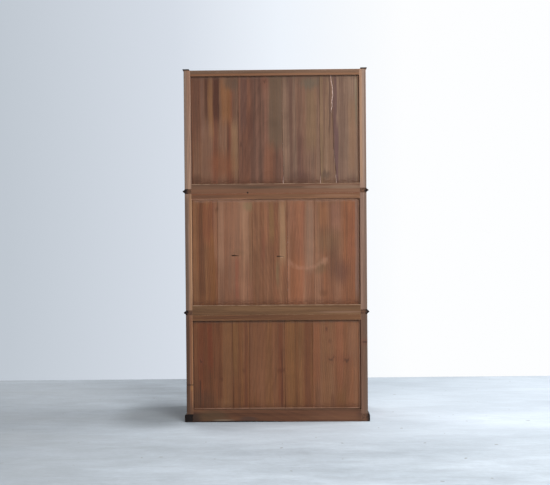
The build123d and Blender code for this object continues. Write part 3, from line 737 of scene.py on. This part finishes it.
board(
    "middle", ((108, 72, 53), (124, 84, 62), (140, 99, 75), (136, 84, 55)),
    streak(-214, 14, (104, 76, 55), 0.5, 980, 1100),
    streak(-238, 48, (149, 101, 69), 0.5, 980, 1090),
    streak(-300, 50, (143, 101, 82), 0.5, 940, 1100),
    streak(-372, 22, (124, 76, 55), 0.5, 800, 1040),
    streak(-392, 24, (139, 87, 61), 0.4, 700, 1060),
    streak(-403, 18, (130, 106, 95), 0.5, 620, 1120),
    spot(-262, 900, 120, 120, (109, 83, 59), 0.5, 1.5),
    spot(-285, 800, 60, 170, (93, 63, 48), 0.55, 1.4),
    spot(-330, 750, 70, 110, (89, 57, 46), 0.6, 1.4),
    spot(-225, 770, 50, 60, (104, 83, 59), 0.5, 1.4),
    spot(-237, 640, 40, 30, (97, 61, 40), 0.5, 1.3),
    WIPE,
    spot(-244, 797, 26, 34, (149, 111, 87), 0.45, 1.3),
)
board(
    "lower", ((91, 55, 34), (105, 64, 41), (117, 76, 50), (111, 60, 38)),
    streak(334, 24, (111, 55, 34), 0.6, 260, 500),
    streak(249, 50, (126, 87, 57), 0.6),
    crack(384, 72, 206, 5.5, 1.5),
    streak(400, 30, (95, 62, 43), 0.5, 60, 200),
    knot(381, 304, 14, 10),
    spot(276, 215, 16, 20, (80, 47, 31), 0.4),
    spot(385, 100, 160, 100, (86, 60, 45), 0.45, 1.3),
    spot(266, 85, 70, 50, (128, 91, 62), 0.35, 1.5),
)
board(
    "lower", ((100, 62, 40), (114, 72, 45), (127, 84, 56), (120, 80, 46)),
    streak(210, 26, (123, 86, 52), 0.5, 240, 500),
    streak(156, 20, (100, 58, 38), 0.6),
    spot(164, 250, 16, 30, (91, 54, 36), 0.5),
)
board(
    "lower", ((99, 62, 40), (112, 71, 47), (123, 82, 56), (115, 76, 46)),
    streak(104, 60, (121, 80, 56), 0.45, 140, 500),
    streak(-18, 20, (99, 54, 35), 0.6, 80, 500),
    spot(-26, 258, 44, 26, (84, 47, 30), 0.55, 1.3),
    streak(-26, 10, (75, 39, 27), 0.6, 40, 340),
)
board(
    "lower", ((99, 62, 38), (115, 74, 47), (123, 84, 53), (119, 76, 43)),
    streak(-158, 34, (101, 60, 41), 0.6),
    streak(-72, 40, (121, 82, 47), 0.4),
    spot(-116, 420, 40, 90, (99, 65, 39), 0.4, 1.4),
)
board(
    "lower", ((105, 68, 45), (118, 78, 55), (130, 90, 65), (128, 82, 55)),
    streak(-201, 34, (132, 82, 55), 0.6, 200, 500),
    streak(-251, 60, (118, 82, 55)),
    streak(-314, 30, (132, 80, 55)),
    streak(-381, 50, (128, 90, 67), 0.45, 300, 500),
    streak(-321, 50, (111, 75, 45), 0.6, 60, 160),
    knot(-250, 462, 9, 24, 0.5),
    knot(-266, 400, 12, 26, 0.3),
    knot(-273, 312, 30, 12, 0.45),
    knot(-348, 306, 26, 16, 0.5),
    spot(-276, 100, 24, 60, (91, 53, 36), 0.5, 1.3),
)


def make_back_boards(case):
    """Planks in place of the CAD boards, each with a material of its own."""
    levels = LEVELS[case]
    joints = [Seam(BOARD_END, gap=0)] + SEAMS[case] + [Seam(-BOARD_END, gap=0)]
    for number, (tones, marks, contrast) in enumerate(BACK_BOARDS[case]):
        seed = CASES.index(case) * 10 + number
        name = f"{case}_back_board_{number + 1}"
        piece = plank(name, joints[number + 1], joints[number], levels, seed)
        if (case, number) in SLITS:
            cut_slit(piece, *SLITS[case, number], seed)
        look = board_look(f"{name}_cedar", seed + 1, tones, marks, levels, contrast)
        piece.data.materials.clear()
        piece.data.materials.append(look)
        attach(piece, f"{case}_case")
        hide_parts(f"{case}_back_boards")


# ---------------- materials of the CAD pieces


def dress(node, material):
    """Gives a CAD node one material."""
    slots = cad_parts[node].data.materials
    slots.clear()
    slots.append(material)


def rubbed(look, colour, bare, strength=0.6, radius=1.6 * MM):
    """Arrises rubbed to another tone, more in some places than in others."""
    patch = look.rise(look.noise(40, 3, 0.6), 0.38, 0.62, 0, strength)
    return look.mix(look.times(look.edges(radius), patch), colour, bare)


def outward(look):
    """1 on the faces that show from the sides and the front, 0 behind and inside."""
    outer = look.rise(look.calc("ABSOLUTE", look.x), PANEL_INSIDE, PANEL_INSIDE + 3 * MM)
    lateral = look.times(look.rise(look.sideways(), 0.5, 0.8), outer)
    ahead = look.rise(look.y, FRAME_BACK + 0.5 * MM, FRAME_BACK - 0.5 * MM)
    return look.calc("MAXIMUM", lateral, ahead)


def wiped_tones(look, wood):
    """Dark lacquer wiped thinly over cedar, so that the grain shows through."""
    colour = grained(look, wood, shade(WIPED, 0.7), WIPED, WIPED_LIGHT, shade(WIPED, 1.2), 0.25)
    return rubbed(look, colour, ORANGE_BROWN)


def frame_look(name, axis, seed, tones, others=None, parted=None, marks=()):
    """Posts and rails: raw and weathered behind, wiped with dark lacquer outside.

    Where parted, a pair of an axis and a value, is exceeded, the raw wood has the other tones.
    """
    look = Look(name)
    wood = figure(look, axis, seed, 1.2)
    raw = grained(look, wood, *tones)
    if others:
        parting_axis, value = parted
        there = look.rise(look.warped[parting_axis], value - 1 * MM, value + 1 * MM)
        raw = look.mix(there, raw, grained(look, wood, *others))
    for paint in marks:
        raw = paint(look, raw)
    raw = rubbed(look, raw, (178, 146, 118), 0.5)
    outside = outward(look)
    colour = look.mix(outside, raw, wiped_tones(look, wood))
    gloss = look.rise(look.noise(25, 3, 0.6), 0.3, 0.7, 0.26, 0.4)
    roughness = look.minus(0.84, look.times(outside, gloss))
    return look.finish(colour, roughness, grain_height(look, wood), 0.35 * MM, 1.2 * MM, specular=0.4)


def inside_look(name, axis, seed):
    """Unfinished cedar of shelves, floors and drawer boxes, wiped only where it meets the front, with
    painted shade where it meets the back boards.
    """
    look = Look(name)
    wood = figure(look, axis, seed, 0.8)
    tones = (shade(RAW_INSIDE, 0.72), RAW_INSIDE, shade(RAW_INSIDE, 1.18), ORANGE_BROWN)
    colour = grained(look, wood, *tones)
    colour = look.dimmed(colour, look.rise(look.noise(9, 3, 0.6), 0.3, 0.75, 1, 0.8))
    # Painted contact shade: dark where the piece meets the back boards.
    painted_shade_at_back_boards = look.rise(look.y, BOARD_FRONT - 4 * MM, BOARD_FRONT - 1 * MM)
    colour = look.mix(painted_shade_at_back_boards, colour, BARK)
    at_front = look.rise(look.y, FRONT + 34 * MM, FRONT + 26 * MM)
    colour = look.mix(at_front, colour, wiped_tones(look, wood))
    roughness = look.rise(wood.narrow, 0.3, 0.7, 0.68, 0.85)
    return look.finish(colour, roughness, grain_height(look, wood), 0.25 * MM, 0.8 * MM)


def wiped_look(look, wood, *tones, gloss=0.46):
    """Finishes a look as cedar wiped with lacquer and rubbed on its arrises."""
    colour = rubbed(look, grained(look, wood, *tones, 0.3), ORANGE_BROWN, radius=1.4 * MM)
    roughness = look.rise(look.noise(11, 3, 0.6), 0.3, 0.7, gloss - 0.06, gloss + 0.12)
    return look.finish(colour, roughness, grain_height(look, wood), 0.2 * MM, 1 * MM)


def door_frame_look(node, seed):
    """Door frame: grain upright in the stiles and level in the rails between them."""
    low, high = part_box(node)
    look = Look(f"{node}_wiped_cedar")
    is_rail = look.band(look.x, low.x + STILE, high.x - STILE, 0.2 * MM)
    place = look.choose(is_rail, grain_place(look, UP, seed), grain_place(look, ACROSS, seed + 3))
    wood = figure(look, UP, seed, 1.1, place=place)
    return wiped_look(look, wood, *DOOR_TONES)


def side_panel_look():
    """Side boards: wiped lacquer outside, raw cedar inside."""
    look = Look("side_panel_cedar")
    wood = figure(look, UP, 41, pitch=9 * MM)
    outside = look.rise(look.sideways(), 0, 0.5)
    raw = grained(look, wood, shade(RAW_INSIDE, 0.75), RAW_INSIDE, shade(RAW_INSIDE, 1.15), ORANGE_BROWN)
    wiped = grained(look, wood, shade(WIPED, 0.85), shade(WIPED, 1.3), WIPED_LIGHT, (104, 57, 36), 0.35)
    scuffs = look.noise(12, 5, 0.7, at=look.scaled((1, 1, 2.5)))
    wiped = look.mix(look.rise(scuffs, 0.56, 0.74, 0, 0.35), wiped, (120, 78, 52))
    colour = look.mix(outside, raw, wiped)
    roughness = look.minus(0.82, look.times(outside, look.rise(wood.hue, 0.3, 0.7, 0.24, 0.36)))
    return look.finish(colour, roughness, grain_height(look, wood), 0.3 * MM)


def lacquer_look(name, seed, left_dark, right_dark, paler):
    """Dark lacquer of the sills and caps, rubbed brown on the arrises.

    Their ends at the back are dark for these widths at +X and -X, and bare end grain beyond, which
    is paler by the last figure.
    """
    look = Look(name)
    wood = figure(look, DEEP, seed, pitch=4 * MM)
    colour = grained(look, wood, shade(LACQUER, 0.75), LACQUER, shade(LACQUER, 1.7), (44, 30, 26), 0.3)
    colour = rubbed(look, colour, WIPED_LIGHT)
    at_back = look.rise(look.y, BACK - 2 * MM, BACK - 1 * MM)
    sawn = look.times(look.rise(look.normal_y, 0.7, 0.9), at_back)
    blotch = look.noise(130, 3, 0.6)
    from_end = look.minus(HALF, look.calc("ABSOLUTE", look.x))
    from_end = look.calc("ADD", from_end, look.rise(blotch, 0.3, 0.7, -7 * MM, 7 * MM))
    dark = look.rise(look.x, -0.1, 0.1, right_dark, left_dark)
    bare = look.rise(look.minus(from_end, dark), -5 * MM, 7 * MM, 0, 0.9)
    end_tones = (shade(part, paler) for part in ((88, 62, 46), (62, 43, 34)))
    end_grain = look.mix(look.rise(blotch, 0.35, 0.65), *end_tones)
    end_grain = look.mix(look.times(wood.rings, 0.4), end_grain, (48, 33, 26))
    colour = look.mix(look.times(sawn, bare), colour, end_grain)
    settled = look.rise(look.noise(14, 4, 0.65), 0.35, 0.7, 0.05, 0.4)
    dust = look.times(look.rise(look.normal_z, 0.8, 0.97), settled)
    colour = look.mix(dust, colour, (112, 104, 98))
    roughness = look.rise(look.noise(18, 3), 0.3, 0.7, 0.36, 0.52)
    roughness = look.calc("ADD", roughness, look.times(look.calc("MAXIMUM", dust, sawn), 0.45))
    height = look.calc("ADD", grain_height(look, wood, 0.3), blotch)
    return look.finish(colour, roughness, height, 0.12 * MM, 1 * MM, specular=0.2)


def iron_look():
    """Blackened iron, hammered and a little rusted."""
    look = Look("blackened_iron")
    hammered = look.noise(160, 3, 0.55)
    rust = look.noise(420, 4, 0.7)
    colour = look.mix(look.rise(rust, 0.54, 0.7, 0, 0.6), IRON, RUST)
    colour = look.mix(look.times(look.edges(0.8 * MM), 0.5), colour, (92, 88, 86))
    roughness = look.rise(rust, 0.35, 0.65, 0.42, 0.68)
    return look.finish(colour, roughness, hammered, 0.5 * MM, 0.6 * MM, metallic=0.75)


POST_MARKS = (
    streak(446, 14, (128, 107, 92), 0.75, 1140, 1800, 0.4),
    streak(445, 16, (88, 70, 59), 0.7, 540, 1130),
    streak(444, 18, (76, 54, 41), 0.8, 0, 540),
    streak(424.5, 11, (154, 111, 75), 0.6, 540, 1140, 0.4),
    streak(425, 12, (124, 76, 48), 0.65, 0, 520, 0.4),
    streak(-441, 8, (150, 128, 112), 0.5, 1200, 1760),
    streak(-427, 12, (168, 128, 92), 0.4, 1200, 1760),
    streak(-447.5, 10, (100, 85, 74), 0.6, 0, 1750),
    streak(420.8, 3, (204, 158, 120), 0.6, 620, 1130, 0.4),
    spot(428, 30, 60, 130, (86, 62, 48), 0.6),
    knot(-438, 397, 26, 10, 0.6),
    streak(422, 5, (168, 122, 84), 0.55, 80, 500, 0.4),
    spot(432, 187, 46, 8, BARK, 0.75, 0.8),
    spot(426, 173, 10, 30, (166, 116, 66), 0.5),
)
RAIL_MARKS = (
    spot(414, 14, 70, 60, (38, 27, 25), 0.8),
    spot(322, 26, 150, 60, (84, 66, 46), 0.6, 1),
    spot(-200, 1172, 120, 14, (137, 105, 86), 0.4, 0.7),
    spot(0, 1730, 1400, 14, (147, 94, 57), 0.45, 0.8),
    spot(-300, 1742, 600, 60, (147, 112, 88), 0.25),
    spot(350, 1124, 260, 16, (82, 54, 41), 0.5),
    spot(0, 1140, 1400, 7, (117, 65, 42), 0.5, 0.8),
    # Painted shadow: a dark patch at the base rail's bowed bottom edge.
    spot(144, 15, 85, 24, (68, 52, 46), 0.55, 0.9),
    spot(268, 10, 100, 6, (146, 130, 112), 0.55, 0.9),
    # Painted shadow: a near-black line under the base rail's bowed bottom edge.
    spot(190, 0.5, 490, 11, (14, 10, 8), 0.95, 0.5),
    spot(-270, 0.5, 360, 10, (66, 52, 44), 0.8, 0.6),
    spot(350, 1165, 360, 30, (125, 88, 66), 0.5, 1),
    spot(0, 1152, 1600, 24, (127, 84, 60), 0.55, 0.7),
    spot(-340, 1172, 170, 22, (144, 116, 95), 0.45, 0.9),
    spot(-300, 1128, 200, 12, (150, 110, 86), 0.35, 0.9),
    spot(-330, 548, 240, 10, (142, 108, 90), 0.4, 0.9),
    spot(-300, 30, 280, 60, (120, 82, 61), 0.3, 1),
    spot(-430, 35, 60, 50, (62, 41, 32), 0.5, 1.4),
    # Painted light: a pale line along the lower arris of the middle case's head rail.
    spot(300, LEVELS["middle"].high / MM, 360, 4, (200, 150, 120), 0.7, 0.6),
    spot(139, 1144.8, 9, 9, (25, 14, 12), 1, 0.5),
)


@as_mark
def ledge_dust_and_highlight(look, under, case):
    """Pale dust and a painted highlight along the upper arris of a case's foot rail."""
    ledge = LEVELS[case].low
    broken = look.rise(look.noise(22, 3, 0.6), 0.35, 0.6, 0.15, 0.7)
    line = look.band(look.z, ledge - 2.2 * MM, ledge + 1 * MM, 1 * MM)
    amount = 0.1 if LEVELS[case].dusted else 1
    return look.mix(look.times(line, broken, amount), under, (176, 144, 117))


FRAME_TONES = {  # post at the photograph's right and at its left, foot rail and head rail
    "top": (
        ((126, 97, 83), (141, 111, 95), (151, 122, 106), (141, 104, 84)),
        ((136, 103, 84), (155, 123, 103), (172, 139, 116), (160, 114, 92)),
        ((86, 63, 47), (100, 75, 58), (118, 91, 71), (108, 69, 49)),
        ((88, 65, 49), (104, 78, 61), (120, 93, 74), (118, 79, 53)),
    ),
    "middle": (
        ((114, 86, 72), (126, 98, 83), (139, 110, 94), (128, 91, 70)),
        ((122, 92, 73), (141, 110, 91), (160, 127, 106), (150, 108, 83)),
        ((89, 60, 39), (103, 72, 47), (119, 86, 58), (105, 65, 40)),
        ((95, 62, 43), (109, 74, 51), (123, 86, 60), (121, 72, 46)),
    ),
    "lower": (
        ((92, 68, 54), (106, 82, 66), (119, 94, 77), (113, 78, 60)),
        ((100, 64, 46), (118, 80, 59), (133, 94, 71), (135, 84, 55)),
        ((79, 49, 31), (95, 59, 39), (111, 74, 50), (107, 58, 36)),
        ((94, 59, 37), (110, 73, 46), (125, 86, 57), (120, 72, 43)),
    ),
}
DOOR_TONES = (shade(DOOR_WOOD, 0.7), DOOR_WOOD, DOOR_LIGHT, WIPED_LIGHT)
DRAWER_TONES = (shade(DRAWER_WOOD, 0.65), DRAWER_WOOD, DRAWER_LIGHT, (112, 60, 34))
END_DARK = {  # of a case's sills: left_dark, right_dark and paler of lacquer_look
    "lower": (34 * MM, 2 * MM, 1.9),
    "middle": (10 * MM, 6 * MM, 2),
    "top": (14 * MM, 6 * MM, 2),
}
STILE = 36 * MM  # width of a door's upright


def dress_cedar(node, make_look, *details):
    """Gives a CAD node a cedar of its own, named after it."""
    dress(node, make_look(f"{node}_cedar", *details))


def dress_case(case, seed):
    """Materials of one case's frame, boards and sills."""
    right, left, foot, head = FRAME_TONES[case]
    at_middle, half_way_up = (0, 0), (2, (LEVELS[case].base + LEVELS[case].top) / 2)
    marks = (*RAIL_MARKS, ledge_dust_and_highlight(case))
    dress_cedar(f"{case}_posts", frame_look, UP, 11 + seed, right, left, at_middle, POST_MARKS)
    dress_cedar(f"{case}_back_rails", frame_look, ACROSS, 21 + seed, foot, head, half_way_up, marks)
    dress_cedar(f"{case}_front_rails", frame_look, ACROSS, 31 + seed, head)
    dress_cedar(f"{case}_side_rails", frame_look, DEEP, 36 + seed, head)
    dress(f"{case}_sills", lacquer_look(f"{case}_sills_lacquer", 51 + seed, *END_DARK[case]))
    dress(f"{case}_side_panels", sides)
    for part in ("floor_board", "roof_board"):
        dress_cedar(f"{case}_{part}", inside_look, ACROSS, 61 + seed)


def dress_door(case, hand, seed):
    """Materials of one sliding door."""
    door = f"{case}_{hand}_door"
    dress(f"{door}_frame", door_frame_look(f"{door}_frame", seed))
    filling, axis = ("panel", ACROSS) if case == "lower" else ("lattice", UP)
    look = Look(f"{door}_{filling}_cedar")
    wood = figure(look, axis, seed, pitch=8 * MM)
    lift = 1.15 if case == "lower" else 0.95
    dress(f"{door}_{filling}", wiped_look(look, wood, *(shade(part, lift) for part in DOOR_TONES)))
    if case == "lower":
        dress(f"{door}_pull", iron)


def dress_drawer(drawer, seed):
    """Materials of one drawer: a figured front on a plain box, with iron fittings."""
    look = Look(f"{drawer}_front_zelkova")
    wood = figure(look, ACROSS, seed, 1.2, pitch=10 * MM)
    dress(f"{drawer}_front", wiped_look(look, wood, *DRAWER_TONES, gloss=0.38))
    dress_cedar(f"{drawer}_box", inside_look, DEEP, seed + 5)
    dress(f"{drawer}_eyes", iron)
    dress(f"{drawer}_bail", iron)


# ---------------- floor, light and camera


def make_floor():
    """A pale concrete floor, which ends some way behind the cabinet as seen by the camera."""
    behind, slant, ahead, reach = -1.1, 0.018, 16, 16
    mesh = bpy.data.meshes.new("floor")
    far_edge = [(x, behind + slant * x, 0) for x in (-reach, reach)]
    mesh.from_pydata([*far_edge, (reach, ahead, 0), (-reach, ahead, 0)], [], [(0, 1, 2, 3)])
    floor = placed("floor", mesh)
    look = Look("pale_concrete")
    drawn_out = look.scaled((0.5, 1.6, 1))
    cloud = look.noise(1.6, 5, 0.6, at=drawn_out)
    swirl = look.noise(8, 6, 0.7, 0.5, at=drawn_out)
    fine = look.noise(55, 4, 0.7, at=look.scaled((0.6, 1.4, 1)))
    colour = look.ramp(cloud, (0.32, FLOOR_DARK), (0.68, FLOOR_PALE))
    worn = look.times(look.rise(swirl, 0.3, 0.7, 0.9, 1.06), look.rise(fine, 0.3, 0.7, 0.95, 1.04))
    # Painted shade: the floor darkens towards +X, standing in for light falling off away from the
    # windows.
    painted_falloff = look.rise(look.x, 2.2, -1, 0.58, 1.07)
    colour = look.dimmed(colour, look.times(worn, painted_falloff))
    look.warped = (look.x, look.z, look.y)  # so that spots lie in the floor's plane
    # Painted light and shade: pools of light near the cabinet on the camera's side and towards -X behind
    # it, and a painted shadow beside the base at +X.
    lit, unlit = shade(FLOOR_PALE, 1.25), shade(FLOOR_DARK, 0.35)
    for patch in (
        spot(-150, 420, 1700, 460, lit, 0.22),
        spot(-1200, -350, 2400, 1900, lit, 0.4),
        spot(620, 20, 400, 600, unlit, 0.55, 1),
    ):
        colour = patch(look, colour)
    speck = look.rise(look.noise(26, 1), 0.24, 0.22, 0, 0.5)
    colour = look.mix(speck, colour, (120, 118, 112))
    mesh.materials.append(look.finish(colour, look.rise(cloud, 0.3, 0.7, 0.6, 0.8), swirl, 0.6 * MM))


def make_world():
    """Pale surroundings that get brighter to the camera's right, and a softer, dimmer sky light."""
    world = bpy.data.worlds.new("surroundings")
    bpy.context.scene.world = world
    world.use_nodes = True
    tree = world.node_tree
    tree.nodes.clear()

    def add(kind, inputs=None, output=0, **settings):
        return add_node(tree, kind, inputs, **settings).outputs[output]

    side = add("SeparateXYZ", {0: add("TexCoord", output="Generated")}, "X")
    across = add("MapRange", {"Value": side, "From Min": 0.3, "From Max": -0.15})
    wall = add_node(tree, "ValToRGB", {0: across})
    stops = wall.color_ramp.elements
    stops.new(0.4)
    stops.new(0.65)
    for stop, position, colour in zip(stops, (0, 0.4, 0.65, 0.95), WALL_TONES):
        stop.position, stop.color = position, linear(colour)
    is_seen = add("LightPath", output="Is Camera Ray")
    levels = {"From Min": 0.9, "From Max": -0.9, "To Min": 0.11, "To Max": 0.5}
    dimmer = add("MapRange", {"Value": side, **levels})
    grey = add("CombineXYZ", {0: dimmer, 1: dimmer, 2: dimmer})
    dimmed = {"data_type": "RGBA", "blend_type": "MULTIPLY"}
    sky = add("Mix", {0: 1, 6: linear(SKY_LIGHT), 7: grey}, 2, **dimmed)
    colour = add("Mix", {0: is_seen, 6: sky, 7: wall.outputs[0]}, 2, data_type="RGBA")
    add_node(tree, "OutputWorld", {0: add("Background", {0: colour})})


def area_light(name, place, width, height, power, colour=(1, 1, 1)):
    """A soft rectangular light that faces the middle of the cabinet."""
    light = bpy.data.lights.new(name, "AREA")
    light.shape, light.size, light.size_y = "RECTANGLE", width, height
    light.energy, light.color = power, colour
    lamp = placed(name, light)
    lamp.location = place
    towards = Vector((0, 0, HEIGHT / 2)) - Vector(place)
    lamp.rotation_euler = towards.to_track_quat("-Z", "Y").to_euler()


def make_camera():
    """Looks at the back from about eye height, a little from the right and slightly rolled."""
    half_view = math.radians(17)
    distance, yaw, pitch, roll = 4.479, math.radians(0.81), math.radians(0.84), math.radians(0.473)
    target = Vector((0.0044, BACK, 0.8958))
    camera = placed("camera", bpy.data.cameras.new("camera"))
    camera.data.sensor_width = 36
    camera.data.lens = camera.data.sensor_width / 2 / math.tan(half_view)
    level = math.cos(pitch)
    camera.location = target + distance * Vector(
        (-math.sin(yaw) * level, math.cos(yaw) * level, math.sin(pitch))
    )
    aim = (target - camera.location).to_track_quat("-Z", "Y").to_matrix().to_4x4()
    camera.rotation_euler = (aim @ Matrix.Rotation(-roll, 4, "Z")).to_euler()
    bpy.context.scene.camera = camera


FLOOR_DARK, FLOOR_PALE = (176, 187, 197), (210, 221, 232)
WALL_TONES = ((192, 200, 209), (214, 221, 231), (238, 244, 252), (253, 254, 255))
SKY_LIGHT = (246, 250, 255)

iron = iron_look()
sides = side_panel_look()
for case_number, case in enumerate(CASES):
    make_back_boards(case)
    dress_case(case, case_number)
    for door_number, hand in enumerate(("left", "right")):
        dress_door(case, hand, 80 + 3 * case_number + door_number)
for drawer_number in (1, 2, 3):
    dress_drawer(f"drawer_{drawer_number}", 95 + drawer_number)
dress("top_caps", lacquer_look("caps_lacquer", 57, 30 * MM, 30 * MM, 1))
for number, node in enumerate(("middle_shelf", "top_shelf", "middle_drawer_deck")):
    dress_cedar(node, inside_look, ACROSS, 70 + number)
dress_cedar("middle_drawer_guides", inside_look, DEEP, 73)

make_floor()
make_world()
area_light("window", (-2.1, 4, 2.7), 2, 1.8, 185, (1, 0.985, 0.96))
area_light("side_window", (-7.4, -0.6, 3.4), 3.4, 3, 540, (1, 0.99, 0.98))
area_light("front_fill", (2.6, -3.6, 2.6), 2.6, 2.2, 90)
make_camera()
bpy.context.scene.view_settings.view_transform = "Standard"
